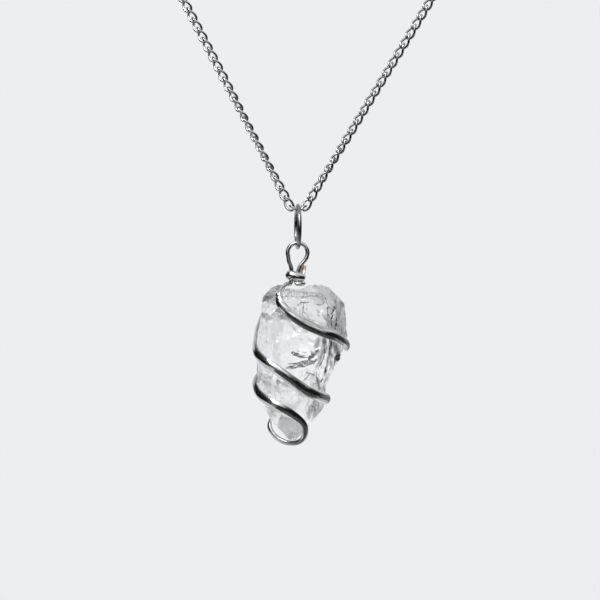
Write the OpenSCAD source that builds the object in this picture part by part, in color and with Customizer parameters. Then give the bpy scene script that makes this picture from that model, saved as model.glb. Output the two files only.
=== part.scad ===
// Raw quartz pendant: a rough clear stone held in a spiral of flattened wire, hung by a
// wrapped eye on a round bail from a twisted curb chain.
// Frame: millimetres, +Z up, the chain's loop in the XZ plane, the front faces -Y.
// The origin is the underside of the nape of the chain, where the necklace hangs.

/* [Chain] */
// Length of the whole loop, clasp included
loop_length = 450; // [400:10:550]
// Lean of the left arm of the V from the vertical, degrees
left_lean = 27.3; // [24:0.1:32]
// Lean of the right arm of the V from the vertical, degrees
right_lean = 31.2; // [24:0.1:32]
// Distance from one link to the next
link_pitch = 2.23; // [2.1:0.01:2.4]
// Diameter of the link wire
link_wire = 0.5; // [0.4:0.01:0.52]
// Outer width of a link
link_width = 2.1; // [2:0.01:2.2]
// How far two links reach into each other, between their wire centres
link_reach = 1; // [0.95:0.01:1.1]
// Twist of one link from end to end, degrees
link_twist = 130; // [120:1:135]
// How far the middle of the lowest link dips under the bail
low_dip = 1.08; // [1:0.01:1.15]
// Number of whole links on each arm of the V
arm_links = 24; // [20:1:30]
// Diameter of the plain run round the neck
run_dia = 1.6; // [1.4:0.1:1.8]

/* [Clasp] */
// Length of the clasp over all
clasp_length = 10.4; // [9:0.1:12]
// Outer width of the clasp's ring
clasp_width = 5; // [4.4:0.1:6]
// Thickness of the clasp
clasp_thick = 2; // [1.8:0.1:2.4]

/* [Bail] */
// Outer diameter of the bail ring
bail_dia = 9.2; // [9:0.1:10]
// Diameter of the bail wire
bail_wire = 0.8; // [0.7:0.05:0.85]
// Height of the bail's top wire above the middle of the lowest link, centre to centre
bail_ride = 1.18; // [1.15:0.01:1.3]
// Turn of the bail's plane away from straight on edge, degrees
bail_yaw = 5; // [0:1:8]

/* [Eye and neck] */
// Diameter of the round wire of the eye
eye_wire = 0.84; // [0.7:0.02:0.88]
// Radius of the eye along its wire centre
eye_radius = 2; // [1.95:0.05:2.2]
// Width of the flattened wire round the neck
neck_band = 1.9; // [1.4:0.1:2]

/* [Spiral] */
// Width of the flattened wire
band_width = 2; // [1.6:0.1:2.1]
// Thickness of the flattened wire
band_thick = 0.66; // [0.5:0.02:0.7]
// Gap between the flattened wire and the stone
band_gap = 0.16; // [0.12:0.02:0.3]

/* [Stone] */
// Depth of the stone from front face to back face
stone_depth = 13; // [12:0.5:14]

/* [Hidden] */

// The loop is two straight arms tangent to one arc. Half the opening of the V sets the radius.
half_open = (left_lean + right_lean) / 2;
loop_tilt = (right_lean - left_lean) / 2;
arc_angle = 180 + 2 * half_open;
// Distance from the corner of the V to the centre of the arc
corner_reach = loop_length / (2 * cos(half_open) + arc_angle * PI / 180 * sin(half_open));
loop_radius = corner_reach * sin(half_open);
nape_z = clasp_thick / 2;
arc_centre = [0, nape_z - loop_radius];
corner = arc_centre - corner_reach * [sin(loop_tilt), cos(loop_tilt)];
left_way = [-sin(left_lean), cos(left_lean)];
right_way = [sin(right_lean), cos(right_lean)];

// The lowest link lies level across the V, with the middle of each end on an arm's line. The
// arms' first links hang on its ends.
low_height = (link_pitch + link_reach) / (tan(left_lean) + tan(right_lean));
low_left = corner + low_height * [-tan(left_lean), 1];
low_right = corner + low_height * [tan(right_lean), 1];
low_centre = (low_left + low_right) / 2;
left_end = low_left - left_way * link_reach / 2;
right_end = low_right - right_way * link_reach / 2;

// The bail's ring and the two pivots
bail_ring = (bail_dia - bail_wire) / 2;
bail_centre = [low_centre.x, 0, low_centre.y - low_dip + bail_ride - bail_ring];
bail_foot = bail_centre - [0, 0, bail_ring];

// The stone's own centre. All heights of the stone and its wire are taken from it.
stone_centre = bail_foot + [0.5, 0, -20.46];

// Adds the missing Y to a point of the loop's plane
function in_plane(p) = [p.x, 0, p.y];
function unit(v) = v / norm(v);
function blend(a, b, t) = a + (b - a) * t;

// Closed strip of triangles between the rings of a swept section. A closed sweep joins its last
// ring to its first, and an open one has flat ends. Where the section turns to the right along the
// sweep, the diagonals run the other way, so the sides bulge and don't sink in.
function strip(rings, sides, closed, right_turn) = [
    for (i = [0 : rings - (closed ? 1 : 2)], k = [0 : sides - 1])
        let (a = i * sides, b = ((i + 1) % rings) * sides, n = (k + 1) % sides)
        each right_turn
            ? [[a + k, a + n, b + k], [a + n, b + n, b + k]]
            : [[a + k, b + n, b + k], [a + k, a + n, b + n]]
];
function caps(rings, sides) = [
    [for (k = [sides - 1 : -1 : 0]) k],
    [for (k = [0 : sides - 1]) (rings - 1) * sides + k]
];
// Direction of a path at point i
function heading(path, i, closed) =
    let (
        n = len(path),
        a = closed ? (i + n - 1) % n : max(i - 1, 0),
        b = closed ? (i + 1) % n : min(i + 1, n - 1)
    )
    unit(path[b] - path[a]);

// Sweeps an oval section along a path. outs holds the way that the wide face looks at each
// point, widths and thicks the oval's two diameters there.
module sweep(path, outs, widths, thicks, sides, closed, right_turn = false) {
    rings = len(path);
    points = [
        for (i = [0 : rings - 1])
            let (t = heading(path, i, closed), n = unit(outs[i] - (outs[i] * t) * t), b = cross(t, n))
            for (k = [0 : sides - 1])
                let (a = 360 * (k + 0.5) / sides)
                path[i] + b * (cos(a) * widths[i] / 2) + n * (sin(a) * thicks[i] / 2)
    ];
    polyhedron(points, concat(strip(rings, sides, closed, right_turn), closed ? [] : caps(rings, sides)));
}

// Half length and half width of a link along the wire's centre
link_half = (link_pitch + link_reach) / 2;
link_bow = (link_width - link_wire) / 2;
// Outline of a flat link: an oval of [along, across]. An ellipse is 1, and less has fuller ends.
oval = 0.9;
low_oval = 0.5;
function link_outline(oval) = [
    for (a = [0 : -30 : -330])
        [link_half * sign(cos(a)) * pow(abs(cos(a)), oval), link_bow * sin(a)]
];

// One link between two joints of the chain. roll 0 faces the front, 90 is edge on. dip bends the
// link's middle down, and leaves its ends level.
module link(from, to, roll, twist, outline, dip = 0) {
    way = unit(to - from);
    side = cross(way, [0, 1, 0]);
    centre = (from + to) / 2;
    axis_point = [for (p = outline) centre + way * p.x];
    path = [
        for (i = [0 : len(outline) - 1])
            let (p = outline[i], f = p.x / link_half, a = roll + twist / 2 * f)
            axis_point[i] + p.y * (cos(a) * side + sin(a) * [0, 1, 0])
                - [0, 0, dip * (1 + cos(180 * f)) / 2]
    ];
    // The section is turned outward from the link's own middle
    outs = [for (i = [0 : len(path) - 1]) path[i] - (centre + way * outline[i].x * 0.6)];
    round_wire = [for (p = path) link_wire];
    sweep(path, outs, round_wire, round_wire, 5, true, right_turn = true);
}

// Slow turn of the chain about its own length: [link number up from the bail, roll in degrees]
LEFT_ROLL = [[0, 150], [1, 148], [2, 133], [3, 118], [4, 112], [9, 112], [13, 138], [30, 138]];
RIGHT_ROLL = [[0, 30], [1, 34], [3, 62], [5, 62], [7, 47], [14, 45], [18, 38], [30, 38]];
// The links hooked to the flat lowest one are twisted less: [link number, share of the full twist]
TWIST_SHARE = [[0, 0.7], [1, 1], [30, 1]];

// The stretch of real links: both arms of the V and the lowest link between them
module chain_front() {
    color("silver") {
        low_point = in_plane(low_centre);
        half_pitch = [link_pitch / 2, 0, 0];
        link(low_point - half_pitch, low_point + half_pitch, 90, 0, link_outline(low_oval), low_dip);
        for (i = [0 : arm_links - 1]) {
            near = link_pitch * i;
            far = link_pitch * (i + 1);
            twist = link_twist * lookup(i, TWIST_SHARE);
            link(in_plane(left_end + left_way * far), in_plane(left_end + left_way * near),
                lookup(i, LEFT_ROLL), twist, link_outline(oval));
            link(in_plane(right_end + right_way * near), in_plane(right_end + right_way * far),
                lookup(i, RIGHT_ROLL), twist, link_outline(oval));
        }
    }
}

// Where the plain runs start, a small gap past the last whole link
run_gap = 0.2;
run_start = link_pitch * arm_links + link_reach / 2 + link_wire / 2 + run_gap;
arm_length = corner_reach * cos(half_open);
// Angle along the arc that the clasp's half takes at the nape
clasp_angle = (clasp_length / 2 + run_gap) / loop_radius * 180 / PI;

// Path of one plain run: up the rest of an arm, then round the arc to the clasp.
// side is -1 for the left run and 1 for the right.
function run_path(side, lean, start, way) =
    let (
        foot = start + way * run_start,
        turn_in = corner + way * arm_length,
        sweep_angle = 90 + lean - clasp_angle
    )
    concat(
        [for (t = [0 : 0.125 : 0.9]) in_plane(blend(foot, turn_in, t))],
        [
            for (k = [0 : 27])
                let (a = lean - sweep_angle * k / 27)
                in_plane(arc_centre + loop_radius * [side * cos(a), -sin(a)])
        ]
    );

// The plain stretch round the neck, past the whole links, in two halves that meet the clasp
module chain_back() {
    left_run = run_path(-1, left_lean, left_end, left_way);
    right_run = run_path(1, right_lean, right_end, right_way);
    color("silver")
        for (run = [left_run, right_run]) {
            plain = [for (p = run) run_dia];
            sweep(run, [for (p = run) [0, -1, 0]], plain, plain, 8, false);
        }
}

// The clasp: one plain ring with a small end ring, lying flat against the nape
module clasp() {
    ring_hole = clasp_width - 2.2;
    end_ring = 3;
    end_hole = 1.5;
    bar_width = 1.8;
    ring_x = clasp_length / 2 - clasp_width / 2;
    end_x = clasp_length / 2 - end_ring / 2;
    color("silver")
        difference() {
            union() {
                translate([-ring_x, 0, 0]) cylinder(h = clasp_thick, d = clasp_width, $fn = 64);
                translate([-ring_x, -bar_width / 2, 0]) cube([ring_x + end_x, bar_width, clasp_thick]);
                translate([end_x, 0, 0]) cylinder(h = clasp_thick, d = end_ring, $fn = 64);
            }
            translate([-ring_x, 0, -1]) cylinder(h = clasp_thick + 2, d = ring_hole, $fn = 64);
            translate([end_x, 0, -1]) cylinder(h = clasp_thick + 2, d = end_hole, $fn = 64);
        }
}

// The bail: a closed jump ring on edge to the front
module bail() {
    color("dimgray")
        translate(bail_centre)
            rotate([0, 0, bail_yaw])
                rotate([0, 90, 0])
                    rotate_extrude($fn = 96) translate([bail_ring, 0]) circle(d = bail_wire, $fn = 32);
}

// The stone's faces, each a flat cut through rough crystal:
// [compass of the face (0 right, 90 back, 180 left, 270 front), tilt up, distance from the centre]
half_depth = stone_depth / 2;
STONE_FACES = [
    // Outline as seen from the front, clockwise from the top
    [0, 90, 13.3], [0, 71, 13.75], [0, 44, 12.9], [0, 6, 9.8], [0, -19, 8.15], [0, -39, 10.9],
    [0, -46, 12.3], [180, -78, 18.2], [180, -43, 13.9], [180, -24.5, 11.2], [180, -3, 9],
    [180, 6, 8.65], [180, 37, 12.5], [180, 65, 13.8],
    // Front: the clear window, its rough right flank, left flank, top slopes, lower slopes and tip
    [270, 2, half_depth], [320, 0, 8.4], [215, 0, 8.7], [265, 62, 12.1], [310, 40, 12], [225, 35, 11.2],
    [268, -14, 7.1], [318, -18, 7.6], [222, -14, 8.6], [262, -38, 11.5],
    // Back
    [88, -3, half_depth], [42, 3, 8.4], [140, -2, 7.6], [95, 42, 11.6], [150, 38, 11.4],
    [92, -16, 7.3], [48, -20, 7.7], [135, -17, 8.6], [85, -42, 11.9]
];
// Broken-out hollows that run front to back: [right, up, radius] of each round scoop.
// The neck sits in the first, in the top, and the second is below the first turn's right end.
HOLLOWS = [[-0.9, 16.75, 4.5], [16.6, -10.4, 11.7]];
function face_way(face) = [cos(face[0]) * cos(face[1]), sin(face[0]) * cos(face[1]), sin(face[1])];
FACE_WAYS = [for (face = STONE_FACES) face_way(face)];

// The stone: a block with every face cut flat and the hollows scooped out
module stone() {
    block = 60;
    color([0.9, 0.92, 0.94, 0.6])
        translate(stone_centre)
            difference() {
                intersection_for(face = STONE_FACES)
                    rotate([0, -face[1], face[0]])
                        translate([face[2] - block, -block / 2, -block / 2])
                            cube(block);
                for (scoop = HOLLOWS)
                    translate([scoop[0], block / 2, scoop[1]])
                        rotate([90, 0, 0])
                            cylinder(h = block, r = scoop[2], $fn = 96);
            }
}

// Rounded distance of a point outside the stone, and the way out there. Both are means over the
// faces, and each face counts the more the nearer it is to being the outermost one.
sharpness = 4;
function clears(p) = [for (i = [0 : len(STONE_FACES) - 1]) FACE_WAYS[i] * p - STONE_FACES[i][2]];
function pulls(p) = [for (c = clears(p)) exp(sharpness * c)];
function total(list) = [for (x = list) 1] * list;
function outside(p) = let (w = pulls(p)) (w * clears(p)) / total(w);
function way_out(p) = let (w = pulls(p)) (w * FACE_WAYS) / total(w);

// Lifts a point of the wire onto the stone, if it lies closer than the seat height
seat = band_thick / 2 + band_gap + 0.04;
// Above this height the wire has left the stone
stone_top = 12.6;
function rest(p, steps = 3) =
    let (short = seat - outside(p), g = way_out(p))
    steps == 0 || short <= 0 || p.z > stone_top ? p : rest(p + g * (short / (g * g)), steps - 1);

// Route of the wire from its tucked end under the tip, up the spiral to the neck:
// [right, back, up, width, thickness], taken from the stone's centre
SPIRAL = [
    // Tucked end behind the tip, round the foot and up into the third turn
    [-0.8, 5, -10.9, 1.2, 0.5], [-3.6, 4.2, -11.6, 1.3, 0.6], [-5.6, 2.4, -13.2, 1.2, 0.6],
    [-6.4, 1.2, -15, 1.1, 0.6], [-5.6, 0.6, -16.9, 1.1, 0.6], [-3.8, 0.1, -18.3, 1.1, 0.6],
    [-1.4, -1, -18.8, 1.1, 0.6], [0.3, -2, -18.1, 1.1, 0.6], [0.95, -2.9, -16.8, 1.2, 0.62],
    [0.85, -3.7, -15.2, 1.4, 0.64], [-0.3, -4.5, -13.8, 1.7, 0.66], [-3.1, -6, -11.9, 2, 0.66],
    [-5.9, -5.4, -10.5, 2, 0.66], [-8.2, -3.2, -9.1, 2, 0.66], [-8.95, -1.2, -7.6, 2, 0.66],
    [-8.8, 0.9, -6, 2, 0.66],
    // Behind the stone and round into the second turn
    [-7.8, 3.2, -5, 2, 0.66], [-5.6, 5.4, -5.1, 2, 0.66], [-2.6, 6.4, -6.3, 2, 0.66],
    [0.8, 6.2, -7.8, 2, 0.66], [3.6, 4.5, -9, 2, 0.66], [5.2, 1.8, -9.8, 2, 0.66],
    [5.1, -1.3, -9.9, 2, 0.66], [3, -4.2, -9, 2, 0.66], [0.5, -5.8, -7.5, 2, 0.66],
    [-2.5, -6.7, -5.4, 2, 0.66], [-5.6, -6.2, -3.1, 2, 0.66], [-8.1, -3.9, -1.2, 2, 0.66],
    [-9.05, -1.4, 0.8, 2, 0.66], [-8.6, 2, 3.8, 2, 0.66], [-8, 4, 6.4, 2, 0.66],
    // Behind the stone and round into the first turn
    [-6.4, 5.6, 7.9, 2, 0.66], [-3.6, 6.9, 7.7, 2, 0.66], [-0.3, 7.1, 6.4, 2, 0.66],
    [3, 7, 4.5, 2, 0.66], [6, 5.7, 2.7, 2, 0.66], [8.3, 3.7, 1.3, 2, 0.66],
    [9.5, 1.4, 0.6, 2, 0.66], [9.5, -0.9, 0.7, 2, 0.66], [8.4, -2.9, 1.6, 2, 0.66],
    [7, -4.7, 2.45, 2, 0.66], [5.2, -6, 3.3, 2, 0.66], [1.3, -7.1, 5, 2, 0.66],
    [-2.2, -7.1, 7.2, 2, 0.66], [-4.2, -6.6, 9.3, 1.9, 0.68], [-4.6, -5.7, 11, 1.6, 0.72],
    [-3.8, -4.1, 12.1, 1.1, 0.8]
];
// The stem: from the stone's top edge up through the neck band to the eye
STEM = [
    [-2.85, -2.3, 13.1, 0.84, 0.84], [-2.15, -1.1, 13.25, 0.84, 0.84], [-1.84, -0.3, 13.7, 0.84, 0.84],
    [-1.78, 0, 15.2, 0.84, 0.84], [-1.86, 0, 16.5, 0.84, 0.84], [-2.3, 0, 17.7, 0.84, 0.84]
];
// Down from the eye, a bend under the neck band, then one turn round both legs to the cut end
NECK = [
    [0.72, 0, 17.7, 0.84, 0.84], [-0.1, 0, 16.7, 0.84, 0.84], [-0.46, 0, 15.6, 0.84, 0.84],
    [-0.5, 0, 14.5, 0.84, 0.84], [-0.78, -0.15, 13.85, 0.8, 0.76], [-0.75, -0.52, 13.3, 0.9, 0.7],
    [0, -0.62, 13.2, 0.9, 0.7], [0.64, -0.1, 13.25, 0.8, 0.7], [0.6, 0.7, 13.45, 0.8, 0.7],
    [-0.1, 1.15, 13.8, 1, 0.7],
    [-1.2, 1.2, 14.3, 1.4, 0.7], [-2.25, 0.85, 14.7, 1.7, 0.7], [-2.68, 0, 14.95, 1.8, 0.7],
    [-2.25, -0.88, 14.9, neck_band, 0.7], [-1.3, -1.2, 14.78, neck_band, 0.7],
    [-0.3, -1.12, 14.62, 1.5, 0.7], [0.45, -0.7, 14.45, 1.1, 0.7], [0.7, 0, 14.5, 0.9, 0.7],
    [0.66, 0.7, 14.9, 0.9, 0.7], [0.52, 1.05, 15.6, 1.1, 0.7], [0.58, 1.05, 16.8, 1.3, 0.7]
];
eye_centre = [-0.56, 0, 19.42];
EYE = [
    for (a = [200 : -22.8 : -28])
        concat(eye_centre + eye_radius * [cos(a), 0, sin(a)], [eye_wire, eye_wire])
];

ROUTE = concat(SPIRAL, STEM, EYE, NECK);
neck_axis = [-0.96, 0, 0];

// Smooth curve through the route: the point at fraction t between rows i and i + 1
function row(i) = ROUTE[min(max(i, 0), len(ROUTE) - 1)];
function along(i, t) =
    let (a = row(i - 1), b = row(i), c = row(i + 1), d = row(i + 2))
    0.5 * (
        2 * b + (c - a) * t + (2 * a - 5 * b + 4 * c - d) * t * t
        + (3 * b - a - 3 * c + d) * t * t * t
    );

steps_per_row = 4;
FINE = [
    for (i = [0 : len(ROUTE) - 2], k = [0 : steps_per_row - 1]) along(i, k / steps_per_row),
    row(len(ROUTE) - 1)
];
function place(r) = [r[0], r[1], r[2]];
// Steps over which the wide face turns from one way to the next
turn_steps = 3 * steps_per_row;
in_spiral = (len(SPIRAL) - 1) * steps_per_row;
in_neck = (len(SPIRAL) + len(STEM) + len(EYE) + 3) * steps_per_row;

// The wrap: one wire, flattened round the stone and the neck, round in the eye
module wire_wrap() {
    path = [for (i = [0 : len(FINE) - 1]) i <= in_spiral ? rest(place(FINE[i])) : place(FINE[i])];
    // The wide face looks away from the stone, then forward in the eye, then away from the neck
    front = [0, -1, 0];
    outs = [
        for (i = [0 : len(path) - 1])
            let (off_neck = unit([path[i].x - neck_axis.x, path[i].y, 0]))
            i <= in_spiral ? blend(way_out(path[i]), front, max(0, 1 - (in_spiral - i) / turn_steps))
            : i < in_neck ? front
            : blend(front, off_neck, min(1, (i - in_neck) / turn_steps))
    ];
    color("darkgray")
        translate(stone_centre)
            sweep(path, outs, [for (r = FINE) r[3]], [for (r = FINE) r[4]], 8, false);
}

chain_front();
chain_back();
clasp();
bail();
wire_wrap();
stone();
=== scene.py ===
import math
import bpy
import numpy as np
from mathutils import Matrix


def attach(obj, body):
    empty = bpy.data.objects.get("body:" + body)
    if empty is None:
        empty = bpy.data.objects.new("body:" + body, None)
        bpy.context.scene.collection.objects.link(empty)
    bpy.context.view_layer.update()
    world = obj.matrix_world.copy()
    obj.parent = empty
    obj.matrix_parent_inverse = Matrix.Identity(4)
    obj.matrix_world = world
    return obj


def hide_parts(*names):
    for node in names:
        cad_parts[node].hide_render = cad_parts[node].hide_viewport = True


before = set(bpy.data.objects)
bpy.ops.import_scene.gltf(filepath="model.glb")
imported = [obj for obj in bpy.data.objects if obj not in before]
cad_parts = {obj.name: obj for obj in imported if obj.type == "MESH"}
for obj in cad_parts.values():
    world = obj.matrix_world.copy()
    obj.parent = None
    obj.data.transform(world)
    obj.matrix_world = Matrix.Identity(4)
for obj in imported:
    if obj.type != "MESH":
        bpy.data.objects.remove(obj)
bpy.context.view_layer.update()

# Camera and pale studio
# The pendant hangs in front of a pale seamless ground, seen level and from far off with a long
# lens, so the two arms of the chain stay straight and the stone keeps its outline.
MM = 0.001
VIEW_WIDTH = 120.0  # millimetres across the picture at the pendant
LENS, SENSOR = 200.0, 36.0
PICTURE_CENTRE = np.array([-3.5, 0.0, -192.11])
CAMERA_BACK = VIEW_WIDTH * LENS / SENSOR

camera_data = bpy.data.cameras.new("long_lens")
camera_data.lens, camera_data.sensor_width = LENS, SENSOR
camera_data.clip_start, camera_data.clip_end = 0.01, 20.0
camera = bpy.data.objects.new("long_lens", camera_data)
bpy.context.scene.collection.objects.link(camera)
camera.location = (PICTURE_CENTRE - [0, CAMERA_BACK, 0]) * MM
camera.rotation_euler = (math.pi / 2, 0, 0)
bpy.context.scene.camera = camera
bpy.context.scene.view_settings.view_transform = "Standard"


def linear(colour):
    """Turns an sRGB hex colour into linear red, green, blue and an alpha of one."""
    parts = [int(colour[i:i + 2], 16) / 255 for i in (1, 3, 5)]
    return [c / 12.92 if c <= 0.04045 else ((c + 0.055) / 1.055) ** 2.4 for c in parts] + [1.0]


def new_material(name):
    """A node material without any nodes."""
    material = bpy.data.materials.new(name)
    material.use_nodes = True
    material.node_tree.nodes.clear()
    return material


def add_node(material, kind, settings=None, feeds=(), **links):
    """Adds one node. settings holds its properties, and socket values by name or number. feeds are
    sources for its sockets in turn, None for one without, and links are sources by socket name."""
    node = material.node_tree.nodes.new(kind)
    for key, value in (settings or {}).items():
        if isinstance(key, str) and hasattr(node, key) and key not in node.inputs:
            setattr(node, key, value)
        else:
            node.inputs[key].default_value = value
    for number, source in enumerate(feeds):
        if source is not None:
            material.node_tree.links.new(source, node.inputs[number])
    for key, source in links.items():
        material.node_tree.links.new(source, node.inputs[key.replace("_", " ")])
    return node


def new_piece(name, points, faces, material):
    """One smooth mesh from an array of points in millimetres and an array or list of faces."""
    mesh = bpy.data.meshes.new(name)
    faces = faces if isinstance(faces, list) else faces.tolist()
    mesh.from_pydata((np.asarray(points) * MM).tolist(), [], faces)
    mesh.polygons.foreach_set("use_smooth", [True] * len(mesh.polygons))
    mesh.materials.append(material)
    mesh.update()
    piece = bpy.data.objects.new(name, mesh)
    bpy.context.scene.collection.objects.link(piece)
    return piece


world = bpy.data.worlds.new("pale_room")
world.use_nodes = True
world.node_tree.nodes["Background"].inputs["Color"].default_value = linear("#ECEEF0")
bpy.context.scene.world = world

# The floor lies well under the tip, out of the picture: one round sheet of matt off-white card.
FLOOR_RADIUS, FLOOR_HEIGHT, FLOOR_POINTS = 4500, -700, 64
floor_card = new_material("matt_white_card")
matt = add_node(floor_card, "ShaderNodeBsdfPrincipled", {"Base Color": linear("#F4F5F6"), "Roughness": 0.9})
add_node(floor_card, "ShaderNodeOutputMaterial", Surface=matt.outputs[0])
rim = 2 * np.pi * np.arange(FLOOR_POINTS) / FLOOR_POINTS
rim_points = np.stack([FLOOR_RADIUS * np.cos(rim), FLOOR_RADIUS * np.sin(rim), FLOOR_HEIGHT + 0 * rim], 1)
floor = new_piece("floor", rim_points, [list(range(FLOOR_POINTS))], floor_card)


def soft_light(name, place, aim, size, power):
    """A square soft light at a place in millimetres, turned to face another."""
    data = bpy.data.lights.new(name, "AREA")
    data.size, data.energy = size * MM, power
    lamp = bpy.data.objects.new(name, data)
    bpy.context.scene.collection.objects.link(lamp)
    place, aim = np.array(place, float), np.array(aim, float)
    lamp.location = place * MM
    way = (aim - place) / np.linalg.norm(aim - place)
    lamp.rotation_euler = (math.acos(-way[2]), 0, math.atan2(way[1], way[0]) - math.pi / 2)


soft_light("soft_light_top", PICTURE_CENTRE + [-250, -450, 500], PICTURE_CENTRE, size=300, power=9.5)


def studio_card(name, way, far, width, height, colour, strength=1.0, in_metal=True):
    """A glowing or dark card that faces the pendant from a given way, at a distance and in a size in
    millimetres. It is mirrored in the metal, or else seen through the stone."""
    card_material = new_material(name)
    glow = add_node(card_material, "ShaderNodeEmission", {"Color": linear(colour), "Strength": strength})
    add_node(card_material, "ShaderNodeOutputMaterial", Surface=glow.outputs[0])
    way = np.array(way, float) / np.linalg.norm(way)
    side = np.cross(way, [0, 0, 1]) / np.linalg.norm(np.cross(way, [0, 0, 1]))
    up = np.cross(side, way)
    middle = PICTURE_CENTRE + way * far
    corners = [middle + side * a * width / 2 + up * b * height / 2
               for a, b in ((-1, -1), (1, -1), (1, 1), (-1, 1))]
    card = new_piece(name, corners, [[0, 1, 2, 3]], card_material)
    card.visible_camera = card.visible_diffuse = card.visible_shadow = False
    card.visible_glossy, card.visible_transmission = in_metal, not in_metal


# A broad soft box high in front and to the left whitens the upper edges of the wire. Black flags on
# the left, at the left shoulder, on the right and low in front give the metal its dark edges, a grey
# flag underneath keeps the lower edges softer, and a paler card stands behind on the right. Light
# through the stone meets none of these, but the pale room and two grey screens at its sides.
studio_card("soft_box_front", [-0.42, -1, 0.85], 700, 920, 560, "#FFFFFF", strength=1.75)
studio_card("black_flag_left", [-1, -0.1, -0.06], 160, 420, 110, "#101012")
studio_card("black_flag_shoulder", [-1, -0.2, 0.72], 150, 200, 110, "#1C1C1E")
studio_card("pale_card_right", [1, 0.9, -0.25], 150, 150, 110, "#8E8E90")
studio_card("black_flag_right", [1, -0.2, 0], 400, 1050, 480, "#1C1C1E")
studio_card("black_flag_low", [0.2, -1, -0.28], 420, 760, 300, "#101012")
studio_card("grey_flag_under", [0.1, -0.62, -1], 400, 1000, 560, "#5E5E60")
studio_card("grey_screen_left", [-1, 0, 0], 480, 440, 800, "#98989C", in_metal=False)
studio_card("grey_screen_right", [1, 0, 0], 480, 440, 800, "#5A5A5E", in_metal=False)

# Curb chain
# A closed loop of twisted curb chain in silver-plated wire. Each link is bent from round wire,
# soldered shut, hooked into the last and twisted end to end, then the chain is barrel polished.
LOOP_LENGTH, CLASP_THICK = 450.0, 2.0
LEFT_LEAN, RIGHT_LEAN = math.radians(27.3), math.radians(31.2)  # of the arms from upright
LEFT_END, RIGHT_END = 6.15, 6.3  # how far from the middle the arms end at the clasp
EVEN_JOINTS = 25  # joints from the foot of each arm up that keep the exact pitch
# The middle line of a link's wire is longer than the pitch by the reach, and the links hook by that
LINK_PITCH, LINK_WIRE, LINK_WIDTH, LINK_REACH = 2.23, 0.5, 2.1, 1
LINK_TWIST, FIRST_SHARE = math.radians(130), 0.7  # twist end to end, and the first links' share of it
OVAL, LOW_OVAL, LOW_DIP = 0.9, 0.5, 1.08  # power of the outline, the lowest link's own, and its dip
CORE_SHARE = 0.6  # length of the core line that a link's wire looks away from, as a share of the link
half_open = (LEFT_LEAN + RIGHT_LEAN) / 2
loop_tilt = (RIGHT_LEAN - LEFT_LEAN) / 2
corner_reach = LOOP_LENGTH / (2 * math.cos(half_open) + (math.pi + 2 * half_open) * math.sin(half_open))
loop_radius = corner_reach * math.sin(half_open)
arc_centre = np.array([0, CLASP_THICK / 2 - loop_radius])
corner = arc_centre - corner_reach * np.array([math.sin(loop_tilt), math.cos(loop_tilt)])
low_height = (LINK_PITCH + LINK_REACH) / (math.tan(LEFT_LEAN) + math.tan(RIGHT_LEAN))
low_centre = corner + low_height * np.array([(math.tan(RIGHT_LEAN) - math.tan(LEFT_LEAN)) / 2, 1])


def grid_faces(rows, columns, wrap_rows):
    """Four-cornered faces between neighbouring rows of a grid of points whose columns close in a ring."""
    i, k = np.meshgrid(np.arange(rows - (0 if wrap_rows else 1)), np.arange(columns), indexing="ij")
    j, n = (i + 1) % rows, (k + 1) % columns
    return np.stack([i * columns + k, j * columns + k, j * columns + n, i * columns + n], -1).reshape(-1, 4)


def unit(vectors):
    """Vectors scaled to a length of one."""
    return vectors / np.linalg.norm(vectors, axis=-1, keepdims=True)


def chain_joints(side, lean, last_x):
    """Joints between links from the V's foot to the clasp. The straight arm runs up to the arc it is
    tangent to, and the arc goes on to the nape. Past the even joints the pitch is shared out evenly."""
    foot = low_height / math.cos(lean) - LINK_REACH / 2
    straight = corner_reach * math.cos(half_open) - foot
    total = straight + loop_radius * (math.pi / 2 + lean - last_x / loop_radius) + LINK_WIRE / 2
    even = LINK_PITCH * np.arange(EVEN_JOINTS)
    rest = np.linspace(even[-1], total, 1 + round((total - even[-1]) / LINK_PITCH))[1:]
    s = np.concatenate([even, rest])
    arm = corner + (foot + s[:, None]) * [side * math.sin(lean), math.cos(lean)]
    a = lean - (s - straight) / loop_radius
    arc = arc_centre + loop_radius * np.stack([side * np.cos(a), -np.sin(a)], 1)
    flat_points = np.where((s < straight)[:, None], arm, arc)
    return np.stack([flat_points[:, 0], 0 * s, flat_points[:, 1]], 1)


def link_grids(start, end, roll, twist, oval, dip, steps=24, sides=8):
    """Wire surfaces of many links at once. The outline is an oval, half length times the cosine to a
    power and half width times the sine, and its plane turns by the twist from end to end."""
    bow = (LINK_WIDTH - LINK_WIRE) / 2
    half = (LINK_PITCH + LINK_REACH) / 2
    a = -2 * np.pi * np.arange(steps) / steps
    f = np.sign(np.cos(a)) * np.abs(np.cos(a)) ** oval[:, None]
    x, y = half * f[..., None], bow * np.sin(a)[:, None]
    way = unit(end - start)[:, None]
    side = np.cross(way, [0, 1.0, 0])
    middle = ((start + end) / 2)[:, None]
    turn = (roll[:, None] + twist[:, None] / 2 * f)[..., None]
    path = middle + way * x + y * (np.cos(turn) * side + np.sin(turn) * [0, 1.0, 0])
    path[..., 2] -= dip[:, None] * (1 + np.cos(np.pi * f)) / 2
    along = unit(np.roll(path, -1, 1) - np.roll(path, 1, 1))
    away = path - (middle + way * x * CORE_SHARE)
    away = unit(away - (away * along).sum(-1, keepdims=True) * along)
    across = np.cross(along, away)
    b = 2 * np.pi * (np.arange(sides) + 0.5) / sides
    radius = LINK_WIRE / 2
    return (path[:, :, None] + radius * (across[:, :, None] * np.cos(b)[:, None]
                                         + away[:, :, None] * np.sin(b)[:, None]))


left_joints = chain_joints(-1, LEFT_LEAN, LEFT_END)
right_joints = chain_joints(1, RIGHT_LEAN, RIGHT_END)
left_number, right_number = np.arange(len(left_joints) - 1), np.arange(len(right_joints) - 1)
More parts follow.
